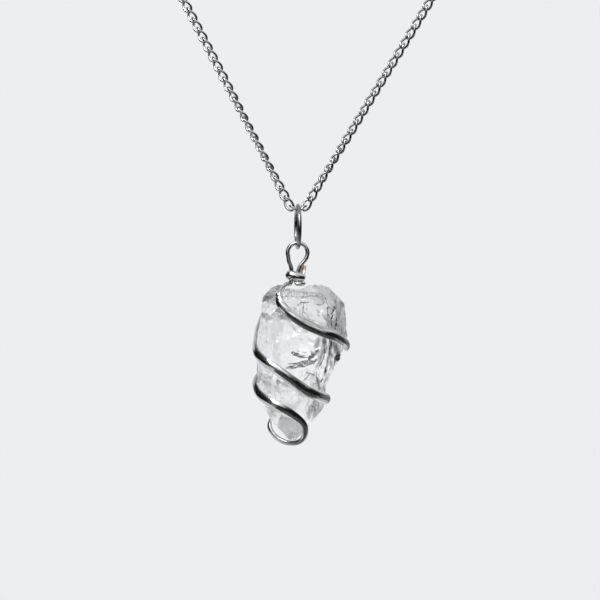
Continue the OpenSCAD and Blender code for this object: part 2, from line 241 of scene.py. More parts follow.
# Roll in degrees of the links, which are numbered up from the bail
left_roll = np.interp(left_number, [0, 1, 2, 3, 4, 9, 13], [150, 148, 133, 118, 112, 112, 138])
right_roll = np.interp(right_number, [0, 1, 3, 5, 7, 14, 18], [30, 34, 62, 62, 47, 45, 38])
# The first link of each arm hooks into the flat lowest one and twists less than the others
left_share = np.where(left_number == 0, FIRST_SHARE, 1.0)
right_share = np.where(right_number == 0, FIRST_SHARE, 1.0)
low_middle = np.array([low_centre[0], 0, low_centre[1]])
half_pitch = np.array([LINK_PITCH / 2, 0, 0])
starts = np.vstack([low_middle - half_pitch, left_joints[1:], right_joints[:-1]])
ends = np.vstack([low_middle + half_pitch, left_joints[:-1], right_joints[1:]])
rolls = np.radians(np.concatenate([[90], left_roll, right_roll]))
twists = LINK_TWIST * np.concatenate([[0], left_share, right_share])
ovals, dips = np.full(len(starts), OVAL), np.zeros(len(starts))
ovals[0], dips[0] = LOW_OVAL, LOW_DIP
links = link_grids(starts, ends, rolls, twists, ovals, dips)
count, outline_steps, wire_sides = links.shape[:3]
# The faces split along the diagonal that runs with the twist, so the wire stays full
one_link = np.roll(grid_faces(outline_steps, wire_sides, True), -1, 1)
first_points = np.arange(count) * outline_steps * wire_sides
chain_faces = (one_link + first_points[:, None, None]).reshape(-1, 4)


def scuffed_plate(name, colour, scuffs_to_a_metre, smooth, rough):
    """A polished plate, nearly a mirror, with fine scuffs that only just blur it: a noise takes its
    roughness from one value to another."""
    plated = new_material(name)
    place = add_node(plated, "ShaderNodeTexCoord").outputs["Object"]
    scuffs = add_node(plated, "ShaderNodeTexNoise", {"Scale": scuffs_to_a_metre, "Detail": 3.0},
                      Vector=place)
    polish = add_node(plated, "ShaderNodeMapRange", {"To Min": smooth, "To Max": rough},
                      Value=scuffs.outputs["Fac"])
    metal = add_node(plated, "ShaderNodeBsdfPrincipled", {"Base Color": linear(colour), "Metallic": 1.0},
                     Roughness=polish.outputs[0])
    add_node(plated, "ShaderNodeOutputMaterial", Surface=metal.outputs[0])
    return plated


# Silver plate, barrel polished
silver_plate = scuffed_plate("polished_silver_plate", "#B2B2B2", 900.0, 0.06, 0.18)

chain = new_piece("curb_chain", links.reshape(-1, 3), chain_faces, silver_plate)
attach(chain, "chain")
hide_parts("chain_front", "chain_back")

# Clasp
# One plain cast ring with a small end ring, lying flat at the nape. A soldered jump ring of the
# same silver joins each end to the last link.
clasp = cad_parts["clasp"]
clasp.data.materials.clear()
clasp.data.materials.append(silver_plate)


def ring_grid(centre, radius, wire, first, second, steps, sides):
    """A ring of round wire: a circle of wire carried round a larger circle in the plane of two ways."""
    first, second = np.array(first, float), np.array(second, float)
    a = 2 * np.pi * np.arange(steps)[:, None, None] / steps
    b = 2 * np.pi * np.arange(sides)[None, :, None] / sides
    out_way = np.cos(a) * first + np.sin(a) * second
    in_plane = out_way * (radius + wire / 2 * np.cos(b))
    return np.array(centre) + in_plane - wire / 2 * np.sin(b) * np.cross(first, second)


# How far right of the middle each jump ring's centre is, and its radius
JUMP_RINGS, JUMP_WIRE = [[-4.7, 1.45], [5.0, 1.3]], 0.44
JUMP_STEPS, JUMP_SIDES = 64, 12
jump_rings = np.stack([ring_grid([right, 0, CLASP_THICK / 2], radius, JUMP_WIRE, [1, 0, 0], [0, 0, 1],
                                 JUMP_STEPS, JUMP_SIDES) for right, radius in JUMP_RINGS])
one_ring = grid_faces(JUMP_STEPS, JUMP_SIDES, True)
ring_faces = np.vstack([one_ring + i * JUMP_STEPS * JUMP_SIDES for i in range(len(JUMP_RINGS))])
rings = new_piece("clasp_jump_rings", jump_rings.reshape(-1, 3), ring_faces, silver_plate)
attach(rings, "chain")

# Bail
# A closed jump ring of darker plated wire, worn almost on edge to the front. The lowest link runs
# through its top and the wire's eye hangs in its foot.
# The ride is how far the middle of the ring's wire hangs above that of the dipped link
BAIL_RING, BAIL_WIRE, BAIL_RIDE, BAIL_YAW = 4.2, 0.8, 1.18, math.radians(5)
BAIL_STEPS, BAIL_SIDES = 144, 24
bail_centre = np.array([low_centre[0], 0, low_centre[1] - LOW_DIP + BAIL_RIDE - BAIL_RING])
bail_foot = bail_centre - [0, 0, BAIL_RING]
bail_way = [-math.sin(BAIL_YAW), math.cos(BAIL_YAW), 0]

# Dark nickel plate, hand polished: darker and a little softer than the silver
dark_plate = scuffed_plate("polished_dark_nickel", "#8A8A8C", 700.0, 0.12, 0.3)

bail_grid = ring_grid(bail_centre, BAIL_RING, BAIL_WIRE, [0, 0, 1], bail_way, BAIL_STEPS, BAIL_SIDES)
bail = new_piece("bail_ring", bail_grid.reshape(-1, 3), grid_faces(BAIL_STEPS, BAIL_SIDES, True), dark_plate)
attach(bail, "bail")
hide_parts("bail")

# Stone
# A rough clear quartz, broken from a cluster and left unpolished. Flat breaks and round scoops
# meet in blunt edges, healed cracks lie just under its front, and its back is a milky crust.
STONE_CENTRE = bail_foot + [0.5, 0, -20.46]
# Flat breaks: compass of the face in degrees (0 right, 90 back), tilt up, distance from the centre
BREAKS = np.array([
    [0, 90, 13.3], [0, 71, 13.75], [0, 44, 12.9], [0, 6, 9.8], [0, -19, 8.15], [0, -39, 10.9],
    [0, -46, 12.3], [180, -78, 18.2], [180, -43, 13.9], [180, -24.5, 11.2], [180, -3, 9],
    [180, 6, 8.65], [180, 37, 12.5], [180, 65, 13.8],
    [270, 2, 6.5], [320, 0, 8.4], [215, 0, 8.7], [265, 62, 12.1], [310, 40, 12], [225, 35, 11.2],
    [268, -14, 7.1], [318, -18, 7.6], [222, -14, 8.6], [262, -38, 11.5],
    [88, -3, 6.5], [42, 3, 8.4], [140, -2, 7.6], [95, 42, 11.6], [150, 38, 11.4],
    [92, -16, 7.3], [48, -20, 7.7], [135, -17, 8.6], [85, -42, 11.9]])
compass, tilt = np.radians(BREAKS[:, 0]), np.radians(BREAKS[:, 1])
break_ways = np.stack([np.cos(compass) * np.cos(tilt), np.sin(compass) * np.cos(tilt), np.sin(tilt)], 1)
break_distances = BREAKS[:, 2]
# Hollows that run front to back: right, up, radius
HOLLOWS = [[-0.9, 16.75, 4.5], [16.6, -10.4, 11.7]]
BLUNT = 12.0  # a higher value leaves the edges between the flat breaks sharper
STONE_TALL = 1.7  # its height over its width


def lattice_noise(points, seed):
    """Smooth noise from 0 to 1: random heights on a unit lattice, blended by 3t² - 2t³ along each axis."""
    size = 32
    heights = np.random.default_rng(seed).random((size, size, size))
    cell = np.floor(points).astype(int)
    t = points - cell
    t = t * t * (3 - 2 * t)
    total = 0
    for corner_bits in range(8):
        step = np.array([corner_bits & 1, corner_bits >> 1 & 1, corner_bits >> 2])
        share = np.where(step, t, 1 - t).prod(-1)
        x, y, z = np.moveaxis((cell + step) % size, -1, 0)
        total = total + share * heights[x, y, z]
    return total


def entry_into_balls(ways, centres, radii, nearest):
    """Distance along rays from the middle to where each first enters a ball, or nearest if that is less."""
    for centre, radius in zip(centres, radii):
        along = ways @ centre
        under = along ** 2 - centre @ centre + radius ** 2
        hit = (under > 0) & (along > 0)
        nearest = np.where(hit, np.minimum(nearest, along - np.sqrt(np.maximum(under, 0))), nearest)
    return nearest


def stone_reach(ways):
    """Distance from the stone's centre to its surface: the nearest flat break along each ray, with the
    edges blunted by a soft minimum, less the round hollows."""
    facing = ways @ break_ways.T
    reach = np.where(facing > 1e-3, break_distances / np.maximum(facing, 1e-3), 1e3)
    low = reach.min(1, keepdims=True)
    reach = low[:, 0] - np.log(np.exp(-BLUNT * (reach - low)).sum(1)) / BLUNT
    for x, z, radius in HOLLOWS:
        flat_way = ways[:, [0, 2]]
        square = (flat_way ** 2).sum(1)
        along = flat_way @ [x, z]
        under = along ** 2 - square * (x * x + z * z - radius * radius)
        hit = (under > 0) & (along > 0)
        entry = (along - np.sqrt(np.maximum(under, 0))) / np.maximum(square, 1e-9)
        reach = np.where(hit, np.minimum(reach, entry), reach)
    return reach


def ball_of_ways(rows, columns):
    """Ways over a whole ball from top to bottom, in rows of latitude. The two poles are single points."""
    up = np.linspace(np.pi / 2, -np.pi / 2, rows + 2)[1:-1, None]
    around = 2 * np.pi * np.arange(columns)[None] / columns
    # The ways are drawn out along the stone's height, so its faces come out even
    ways = np.stack([np.cos(up) * np.cos(around), np.cos(up) * np.sin(around),
                     STONE_TALL * np.sin(up) + 0 * around], -1)
    return np.vstack([[[0, 0, 1.0]], unit(ways).reshape(-1, 3), [[0, 0, -1.0]]])


def ball_faces(rows, columns):
    """Faces of such a ball: rings of four-cornered faces, and a fan of triangles at each pole."""
    k = np.arange(columns)
    n = (k + 1) % columns
    sides = grid_faces(rows, columns, False) + 1
    bottom = 1 + (rows - 1) * columns
    top_fan = np.stack([0 * k, 1 + k, 1 + n], 1)
    low_fan = np.stack([0 * k + rows * columns + 1, bottom + n, bottom + k], 1)
    return sides.tolist() + top_fan.tolist() + low_fan.tolist()


def rod_faces(rows, columns):
    """Faces of a closed rod: rings of four-cornered faces, and one flat face over each end."""
    k = np.arange(columns)
    caps = [k[::-1].tolist(), ((rows - 1) * columns + k).tolist()]
    return grid_faces(rows, columns, False).tolist() + caps


def bite_centres(ways, reach, radii, depths):
    """Centres of balls that bite to a depth into the surface where rays leave it, straight down into
    the flat break that each ray meets first."""
    facing = np.maximum(ways @ break_ways.T, 1e-3)
    looks = break_ways[(break_distances / facing).argmin(1)]
    return ways * reach[:, None] + looks * (radii - depths)[:, None]


STONE_ROWS, STONE_COLUMNS = 280, 300
CHIPS, FLANK_CHIPS, CRUMBS = 150, 50, 420
stone_ways = ball_of_ways(STONE_ROWS, STONE_COLUMNS)
# Shell-shaped chips: balls that bite a little way into the surface, a third of them on the right flank
dice = np.random.default_rng(11)
chip_ways = unit(dice.normal(size=(CHIPS, 3)) * [1, 1, 1.6])
chip_ways[:FLANK_CHIPS] = unit(dice.normal(size=(FLANK_CHIPS, 3)) * [0.35, 0.8, 1.2] + [1.2, -0.2, 0])
chip_radii = dice.uniform(1.2, 6.0, CHIPS)
chip_depths = dice.uniform(0.1, 0.55, CHIPS)
chip_reach = stone_reach(chip_ways)
# The narrow foot is more whole than the rest
FOOT_TOP, FOOT_SHARE = -8.5, 0.4
chip_depths *= np.where(chip_ways[:, 2] * chip_reach < FOOT_TOP, FOOT_SHARE, 1)
chip_centres = bite_centres(chip_ways, chip_reach, chip_radii, chip_depths)
stone_shape = entry_into_balls(stone_ways, chip_centres, chip_radii, stone_reach(stone_ways))
# Small crumbs lost along the edges and faces
crumb_ways = unit(dice.normal(size=(CRUMBS, 3)) * [1, 1, 1.7])
crumb_radii, crumb_depths = dice.uniform(0.5, 1.8, CRUMBS), dice.uniform(0.05, 0.2, CRUMBS)
crumb_reach = entry_into_balls(crumb_ways, chip_centres, chip_radii, stone_reach(crumb_ways))
crumb_centres = bite_centres(crumb_ways, crumb_reach, crumb_radii, crumb_depths)
stone_shape = entry_into_balls(stone_ways, crumb_centres, crumb_radii, stone_shape)
# Torn grain: coarse and fine waves all over and ridges that run up the right flank, all of it
# shallower towards the tip
COARSE, FINE, RIDGE, TIP_WEAR = 0.14, 0.06, 0.35, 0.85
FLANK_RIGHT, FLANK_UP, TIP_UP = 4.5, -6, -9
bitten = stone_ways * stone_shape[:, None]
coarse_waves = lattice_noise(bitten * [1.3, 1.3, 0.7] + 7, 3) * COARSE
fine_waves = lattice_noise(bitten * 3.1 + 3, 5) * FINE
flank = np.clip((bitten[:, 0] - FLANK_RIGHT) / 2, 0, 1) * np.clip((bitten[:, 2] - FLANK_UP) / 2, 0, 1)
ridges = np.abs(lattice_noise(bitten * [2.6, 2.6, 0.5] + 11, 8) * 2 - 1)
wear = 1 - TIP_WEAR * np.clip((TIP_UP - bitten[:, 2]) / 3, 0, 1)
stone_shape = stone_shape - wear * (coarse_waves + fine_waves + flank * RIDGE * ridges)
stone_points = stone_ways * stone_shape[:, None] + STONE_CENTRE

# Quartz: a clear crystal of index 1.544. A fresh break is glossy in its scoops and frosted where
# the crystal tore, and the back of the stone is a milky crust that lets light in but hides the wire.
QUARTZ_INDEX = 1.544
WOBBLE = 2.6  # millimetres that the edges of the grey zones wander by
quartz = new_material("clear_rough_quartz")
place = add_node(quartz, "ShaderNodeTexCoord").outputs["Object"]
local = add_node(quartz, "ShaderNodeVectorMath", {"operation": "SUBTRACT", 1: STONE_CENTRE * MM}, [place])
wander = add_node(quartz, "ShaderNodeTexNoise", {"Scale": 420.0, "Detail": 4.0, "Roughness": 0.6},
                  Vector=place)
wobbly = add_node(quartz, "ShaderNodeVectorMath", {"operation": "MULTIPLY_ADD", 1: [WOBBLE * MM] * 3},
                  [wander.outputs["Color"], None, local.outputs[0]])


def drawn_noise(lean, across, along, detail=4.0):
    """Noise drawn out along a line that leans from upright, so many waves to a metre across and along."""
    turned = add_node(quartz, "ShaderNodeMapping", {
        "vector_type": "POINT", "Rotation": (0, math.radians(lean), 0),
        "Scale": (across, across / 3, along)}, Vector=local.outputs[0])
    return add_node(quartz, "ShaderNodeTexNoise", {"Scale": 1.0, "Detail": detail, "Roughness": 0.6},
                    Vector=turned.outputs[0]).outputs["Fac"]


def torn_grain(lean, across, along, low, high):
    """Fine torn grain: drawn-out noise, cut off to a mask of 0 to 1."""
    return add_node(quartz, "ShaderNodeMapRange", {"From Min": low, "From Max": high},
                    Value=drawn_noise(lean, across, along)).outputs[0]


def chip_edges(lean, across, along, thin):
    """Thin lines where small chips meet: 1 where drawn-out noise crosses its middle, 0 a little off it."""
    noise = drawn_noise(lean, across, along, 1.6)
    off_middle = add_node(quartz, "ShaderNodeMath", {"operation": "SUBTRACT", 1: 0.5}, [noise])
    far = add_node(quartz, "ShaderNodeMath", {"operation": "ABSOLUTE"}, [off_middle.outputs[0]])
    return add_node(quartz, "ShaderNodeMapRange", {"From Max": thin, "To Min": 1.0, "To Max": 0.0},
                    Value=far.outputs[0]).outputs[0]


upright_grain = torn_grain(4, 1300, 190, 0.4, 0.66)
leaning_grain = torn_grain(-28, 1300, 230, 0.42, 0.6)
flecks = torn_grain(-35, 2600, 1300, 0.5, 0.6)
edges = chip_edges(-30, 640, 430, 0.035)
# Painted shade on the glass colour, zone by zone, for the grey facets where light leaves the stone
# sideways: right and up from the centre, half width, half height in millimetres, lean in degrees,
# share of painted shade, and the grain that breaks the zone up. Each paints its full share out to 0.7 of its
# size and fades out at 1.15.
ZONE_FULL, ZONE_GONE = 0.7, 1.15
PAINTED_SHADE_ZONES = [
    [-6.3, 12.2, 3.6, 1.9, 38, 0.42, None], [5.4, 12.0, 5.6, 1.7, -36, 0.36, None],
    [3.2, 10.4, 2.3, 1.0, -20, 0.26, None], [8.6, 5.6, 1.5, 4.4, 0, 0.5, upright_grain],
    [8.6, 5.6, 1.3, 4.6, 0, 0.2, None], [6.4, 6.2, 1.3, 4.6, 0, 0.66, upright_grain],
    [5.6, -1.0, 2.8, 4.4, 20, 0.78, leaning_grain], [4.2, -5.4, 2.0, 2.8, -15, 0.65, leaning_grain],
    [7.2, 0.2, 1.8, 3.2, 20, 0.5, upright_grain],
    [-5.4, -7.0, 2.8, 3.6, 20, 0.38, edges], [0.6, -10.5, 3.8, 1.9, -25, 0.3, edges],
    [3.4, -11.8, 2.2, 2.8, -30, 0.6, leaning_grain], [-1.6, -15.6, 2.9, 2.8, 0, 0.4, None],
    [-7.6, 3.0, 1.2, 6.0, 0, 0.2, flecks], [-0.5, 10.2, 3.4, 2.0, 10, 0.3, edges],
    [2.0, -5.6, 2.6, 2.2, -20, 0.3, edges], [4.6, -7.8, 2.4, 2.8, -20, 0.2, edges]]
painted_tone = None
for right, up, half_width, half_height, lean, lost, grain in PAINTED_SHADE_ZONES:
    own = add_node(quartz, "ShaderNodeMapping", {
        "vector_type": "TEXTURE", "Location": ((right + WOBBLE / 2) * MM, 0, (up + WOBBLE / 2) * MM),
        "Rotation": (0, -math.radians(lean), 0), "Scale": (half_width * MM, 1.0, half_height * MM)},
        Vector=wobbly.outputs[0])
    far_out = add_node(quartz, "ShaderNodeVectorMath", {"operation": "LENGTH"}, [own.outputs[0]])
    mask = add_node(quartz, "ShaderNodeMapRange", {
        "interpolation_type": "SMOOTHSTEP", "From Min": ZONE_FULL, "From Max": ZONE_GONE,
        "To Min": lost, "To Max": 0.0}, Value=far_out.outputs["Value"]).outputs[0]
    if grain:
        mask = add_node(quartz, "ShaderNodeMath", {"operation": "MULTIPLY"}, [mask, grain]).outputs[0]
    painted_tone = add_node(quartz, "ShaderNodeMath", {"operation": "SUBTRACT", "use_clamp": True, 0: 1.0},
                    [painted_tone, mask]).outputs[0]
# The painted shade goes into the glass colour, which tints light where it enters and again where it
# leaves, each time by the root of the colour, so the painted tone is squared first
squared = add_node(quartz, "ShaderNodeMath", {"operation": "POWER", 1: 2.0}, [painted_tone]).outputs[0]
painted_shade_tint = add_node(quartz, "ShaderNodeCombineColor", None, [squared] * 3)
patches = add_node(quartz, "ShaderNodeTexNoise", {"Scale": 330.0, "Detail": 4.0}, Vector=place)
frost = add_node(quartz, "ShaderNodeMapRange", {
    "From Min": 0.35, "From Max": 0.7, "To Min": 0.03, "To Max": 0.3}, Value=patches.outputs["Fac"])
pitted = add_node(quartz, "ShaderNodeTexNoise", {"Scale": 1100.0, "Detail": 5.0}, Vector=place)
coarse = add_node(quartz, "ShaderNodeMapRange", {
    "From Min": 0.4, "From Max": 0.62, "To Min": 0.15, "To Max": 0.6}, Value=wander.outputs["Fac"])
break_grain = add_node(quartz, "ShaderNodeBump", {"Distance": 0.3 * MM}, Height=pitted.outputs["Fac"],
                       Strength=coarse.outputs[0])
glass = add_node(quartz, "ShaderNodeBsdfPrincipled", {"Transmission Weight": 1.0, "IOR": QUARTZ_INDEX},
                 Base_Color=painted_shade_tint.outputs[0], Roughness=frost.outputs[0], Normal=break_grain.outputs[0])
# The crust lets most light through and scatters a fifth of it back. It is glossy, also where it is
# seen from within, and more so towards the broken right flank.
white = linear("#FEFEFE")
lets_through = add_node(quartz, "ShaderNodeBsdfTranslucent", {"Color": white})
scatters = add_node(quartz, "ShaderNodeBsdfDiffuse", {"Color": white})
crust = add_node(quartz, "ShaderNodeMixShader", {"Fac": 0.2},
                 [None, lets_through.outputs[0], scatters.outputs[0]])
inside = add_node(quartz, "ShaderNodeSeparateXYZ", Vector=local.outputs[0])
to_the_right = add_node(quartz, "ShaderNodeMapRange", {
    "From Min": -1.5 * MM, "From Max": 6 * MM, "To Min": 0.14, "To Max": 0.6}, Value=inside.outputs["X"])
sheen = add_node(quartz, "ShaderNodeFresnel", {"IOR": QUARTZ_INDEX}, Normal=break_grain.outputs[0])
gloss = add_node(quartz, "ShaderNodeBsdfGlossy", Roughness=frost.outputs[0], Normal=break_grain.outputs[0])
shine = add_node(quartz, "ShaderNodeMath", {"operation": "MULTIPLY"},
                 [sheen.outputs[0], to_the_right.outputs[0]])
shiny_crust = add_node(quartz, "ShaderNodeMixShader", None,
                       [shine.outputs[0], crust.outputs[0], gloss.outputs[0]])
behind = add_node(quartz, "ShaderNodeMapRange", {"From Min": 0.5 * MM, "From Max": 3 * MM, "To Max": 0.93},
                  Value=inside.outputs["Y"])
whole = add_node(quartz, "ShaderNodeMixShader", None,
                 [behind.outputs[0], glass.outputs[0], shiny_crust.outputs[0]])
add_node(quartz, "ShaderNodeOutputMaterial", Surface=whole.outputs[0])

stone = new_piece("quartz_stone", stone_points, ball_faces(STONE_ROWS, STONE_COLUMNS), quartz)
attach(stone, "pendant")
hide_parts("stone")

# Healed cracks just under the front: thin curved flakes, real cracks whose grey is painted shade
# for the dark reflections in them. Each is a path of places right and up from the centre, then its
# half width, all in millimetres.
CRACKS = [
    [[-3.1, -3.5], [-1.6, -3.2], [0.6, -2.9], [2.2, -2.5], [3.6, -1.7], 0.4],
    [[-2.6, -2.7], [-1.0, -2.6], [0.8, -2.3], [2.4, -1.8], 0.16],
    [[-1.9, -0.4], [-1.2, -0.8], [0.1, -1.3], [1.3, -1.3], [3.2, -0.7], 0.34],
    [[-0.9, -0.1], [0.2, -0.5], [1.6, -0.6], [2.6, -0.2], 0.14],
    [[1.7, -2.5], [1.9, -1.6], [2.5, -0.7], [3.5, -0.1], 0.42],
    [[2.9, -3.7], [3.7, -2.7], [4.4, -1.3], [4.7, 0.2], 0.2],
    [[3.3, -7.2], [3.9, -6.3], [4.3, -5.4], 0.2],
    [[0.9, -4.3], [1.9, -4.5], [2.8, -5.0], [3.4, -6.0], 0.14],
    [[0.9, -5.9], [1.4, -5.2], [1.8, -4.6], 0.09],
    [[-0.7, 8.9], [0.3, 9.5], [1.8, 9.5], 0.11],
    [[0.5, 9.3], [0.55, 8.0], [0.5, 6.6], 0.08],
    [[4.6, 10.6], [5.1, 9.8], [5.4, 8.8], [5.45, 7.2], [5.4, 5.5], [5.2, 4.0], 0.1],
    [[2.6, 9.3], [3.3, 9.1], [4.0, 9.1], [4.8, 9.5], 0.1],
    [[5.9, 7.2], [6.4, 7.9], [6.8, 8.8], 0.26],
    [[5.7, 5.9], [6.1, 6.5], [6.4, 7.2], 0.2],
    [[6.6, 3.9], [6.9, 5.0], [7.1, 6.4], 0.2]]
FLAKE_STEPS, FLAKE_SIDES = 24, 8
FLAKE_UNDER, FLAKE_HALF_THICK = 1.3, 0.03  # millimetres behind the front, and half a flake's thickness
FLAKE_LOOKS = [0, -1.0, 0.35]  # forward and a little up


def front_of_stone(x, z):
    """How far back the front of the stone is at places right and up: the rearmost of its flat breaks."""
    facing = break_ways[:, 1] < -0.1
    w, d = break_ways[facing], break_distances[facing]
    return ((d - np.outer(x, w[:, 0]) - np.outer(z, w[:, 2])) / w[:, 1]).max(1)


def flake(path, half_width):
    """A thin closed blade along a smoothed path, widest in its middle and drawn out to both ends."""
    path = np.array(path)
    s = np.linspace(0, len(path) - 1, FLAKE_STEPS)
    x, z = (np.interp(s, np.arange(len(path)), path[:, i]) for i in (0, 1))
    blur = np.array([1, 2, 3, 2, 1]) / 9
    x, z = (np.convolve(np.pad(line, 2, "edge"), blur, "valid") for line in (x, z))
    middle = np.stack([x, front_of_stone(x, z) + FLAKE_UNDER, z], 1)
    along = unit(np.gradient(middle, axis=0))[:, None]
    across = unit(np.cross(along, FLAKE_LOOKS))
    lift = np.cross(across, along)
    b = 2 * np.pi * np.arange(FLAKE_SIDES)[None, :, None] / FLAKE_SIDES
    wide = half_width * np.sin(np.linspace(0.12, np.pi - 0.12, FLAKE_STEPS)) ** 0.6
    return middle[:, None] + across * np.cos(b) * wide[:, None, None] + lift * np.sin(b) * FLAKE_HALF_THICK


flakes = np.stack([flake(crack[:-1], crack[-1]) for crack in CRACKS])
flake_faces = [[point + i * FLAKE_STEPS * FLAKE_SIDES for point in face]
               for i in range(len(CRACKS)) for face in rod_faces(FLAKE_STEPS, FLAKE_SIDES)]
# The crack's look in painted shade: a grey sheet for the dark reflections in the open crack, broken up by
# noise where the crack has healed
crack_shade_material = new_material("healed_crack_painted_shade")
place = add_node(crack_shade_material, "ShaderNodeTexCoord").outputs["Object"]
drawn = add_node(crack_shade_material, "ShaderNodeMapping", {
    "Rotation": (0, math.radians(12), 0), "Scale": (700, 1600, 2600)}, Vector=place)
healed = add_node(crack_shade_material, "ShaderNodeTexNoise", {"Scale": 1.0, "Detail": 4.0, "Roughness": 0.6},
                  Vector=drawn.outputs[0])
still_open = add_node(crack_shade_material, "ShaderNodeMapRange", {"From Min": 0.4, "From Max": 0.53},
                      Value=healed.outputs["Fac"])
clear = add_node(crack_shade_material, "ShaderNodeBsdfTransparent")
painted_crack_shade = add_node(crack_shade_material, "ShaderNodeBsdfPrincipled", {"Base Color": linear("#5C5C5E"), "Roughness": 0.5})
mixed = add_node(crack_shade_material, "ShaderNodeMixShader", None,
                 [still_open.outputs[0], clear.outputs[0], painted_crack_shade.outputs[0]])
add_node(crack_shade_material, "ShaderNodeOutputMaterial", Surface=mixed.outputs[0])
cracks = new_piece("healed_cracks", flakes.reshape(-1, 3) + STONE_CENTRE, flake_faces, crack_shade_material)
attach(cracks, "pendant")

# Wire wrap
# One silver-plated copper wire, hammered flat round the stone and the neck and left round in the
# eye. It starts tucked behind the tip, climbs in three turns and ends in a bare cut behind the neck.
EYE_WIRE, EYE_RADIUS, EYE_RIGHT, EYE_UP = 0.84, 2.0, -0.56, 19.42
NECK_BAND, NECK_RIGHT = 1.9, -0.96  # width of the neck band, and where its middle is
BAND_THICK, BAND_GAP, SEAT_MARGIN, STONE_TOP = 0.66, 0.16, 0.04, 12.6
BREAK_PULL = 4.0  # a higher value follows the outermost flat break alone
BAND_SIDES = 28
# Rows of the route from the stone's centre: right, back, up, width, thickness
SPIRAL = np.array([
    [-0.8, 5, -10.9, 1.2, 0.5], [-3.6, 4.2, -11.6, 1.3, 0.6], [-5.6, 2.4, -13.2, 1.2, 0.6],
    [-6.4, 1.2, -15, 1.1, 0.6], [-5.6, 0.6, -16.9, 1.1, 0.6], [-3.8, 0.1, -18.3, 1.1, 0.6],
    [-1.4, -1, -18.8, 1.1, 0.6], [0.3, -2, -18.1, 1.1, 0.6], [0.95, -2.9, -16.8, 1.2, 0.62],
    [0.85, -3.7, -15.2, 1.4, 0.64], [-0.3, -4.5, -13.8, 1.7, 0.66], [-3.1, -6, -11.9, 2, 0.66],
    [-5.9, -5.4, -10.5, 2, 0.66], [-8.2, -3.2, -9.1, 2, 0.66], [-8.95, -1.2, -7.6, 2, 0.66],
    [-8.8, 0.9, -6, 2, 0.66], [-7.8, 3.2, -5, 2, 0.66], [-5.6, 5.4, -5.1, 2, 0.66],
    [-2.6, 6.4, -6.3, 2, 0.66], [0.8, 6.2, -7.8, 2, 0.66], [3.6, 4.5, -9, 2, 0.66],
    [5.2, 1.8, -9.8, 2, 0.66], [5.1, -1.3, -9.9, 2, 0.66], [3, -4.2, -9, 2, 0.66],
    [0.5, -5.8, -7.5, 2, 0.66], [-2.5, -6.7, -5.4, 2, 0.66], [-5.6, -6.2, -3.1, 2, 0.66],
    [-8.1, -3.9, -1.2, 2, 0.66], [-9.05, -1.4, 0.8, 2, 0.66], [-8.6, 2, 3.8, 2, 0.66],
    [-8, 4, 6.4, 2, 0.66], [-6.4, 5.6, 7.9, 2, 0.66], [-3.6, 6.9, 7.7, 2, 0.66],
    [-0.3, 7.1, 6.4, 2, 0.66], [3, 7, 4.5, 2, 0.66], [6, 5.7, 2.7, 2, 0.66], [8.3, 3.7, 1.3, 2, 0.66],
    [9.5, 1.4, 0.6, 2, 0.66], [9.5, -0.9, 0.7, 2, 0.66], [8.4, -2.9, 1.6, 2, 0.66],
    [7, -4.7, 2.45, 2, 0.66], [5.2, -6, 3.3, 2, 0.66], [1.3, -7.1, 5, 2, 0.66],
    [-2.2, -7.1, 7.2, 2, 0.66], [-4.2, -6.6, 9.3, 1.9, 0.68], [-4.6, -5.7, 11, 1.6, 0.72],
    [-3.8, -4.1, 12.1, 1.35, 0.8]])
STEM = np.array([
    [-2.85, -2.3, 13.1, 1.05, 0.84], [-2.15, -1.1, 13.25, 0.95, 0.84], [-1.84, -0.3, 13.7, 0.84, 0.84],
    [-1.78, 0, 15.2, 0.84, 0.84], [-1.86, 0, 16.5, 0.84, 0.84], [-2.3, 0, 17.7, 0.84, 0.84]])
# Degrees round the eye, from where the stem comes up on the left to where the wire goes down again
eye_turn = np.radians(np.linspace(200, -28, 11))
EYE = np.stack([EYE_RIGHT + EYE_RADIUS * np.cos(eye_turn), 0 * eye_turn,
                EYE_UP + EYE_RADIUS * np.sin(eye_turn),
                EYE_WIRE + 0 * eye_turn, EYE_WIRE + 0 * eye_turn], 1)
NECK = np.array([
    [0.72, 0, 17.7, 0.84, 0.84], [-0.1, 0, 16.7, 0.84, 0.84], [-0.46, 0, 15.6, 0.84, 0.84],
    [-0.5, 0, 14.5, 0.84, 0.84], [-0.78, -0.15, 13.85, 0.8, 0.76], [-0.75, -0.52, 13.3, 0.9, 0.7],
    [0, -0.62, 13.2, 0.9, 0.7], [0.64, -0.1, 13.25, 0.8, 0.7], [0.6, 0.7, 13.45, 0.8, 0.7],
    [-0.1, 1.15, 13.8, 1, 0.7], [-1.2, 1.2, 14.3, 1.4, 0.7], [-2.25, 0.85, 14.7, 1.7, 0.7],
    [-2.68, 0, 14.95, 1.8, 0.7], [-2.25, -0.88, 14.9, NECK_BAND, 0.7], [-1.3, -1.2, 14.78, NECK_BAND, 0.7],
    [-0.3, -1.12, 14.62, 1.75, 0.7], [0.45, -0.7, 14.45, 1.4, 0.7], [0.7, 0, 14.5, 1.1, 0.7],
    [0.66, 0.7, 14.9, 0.9, 0.7], [0.52, 1.05, 15.6, 1.1, 0.7], [0.58, 1.05, 16.8, 1.3, 0.7]])
ROUTE = np.vstack([SPIRAL, STEM, EYE, NECK])
STEPS = 8  # rings of wire to one row of the route


def smooth_route(u):
    """Curve through the rows: each stretch is the cubic that passes its two rows with the slopes of
    the rows on either side."""
    i = np.clip(np.floor(u).astype(int), 0, len(ROUTE) - 2)
    t = (u - i)[:, None]
    a, b, c, d = (ROUTE[np.clip(i + step, 0, len(ROUTE) - 1)] for step in (-1, 0, 1, 2))
    return 0.5 * (2 * b + (c - a) * t + (2 * a - 5 * b + 4 * c - d) * t ** 2
                  + (3 * b - a - 3 * c + d) * t ** 3)


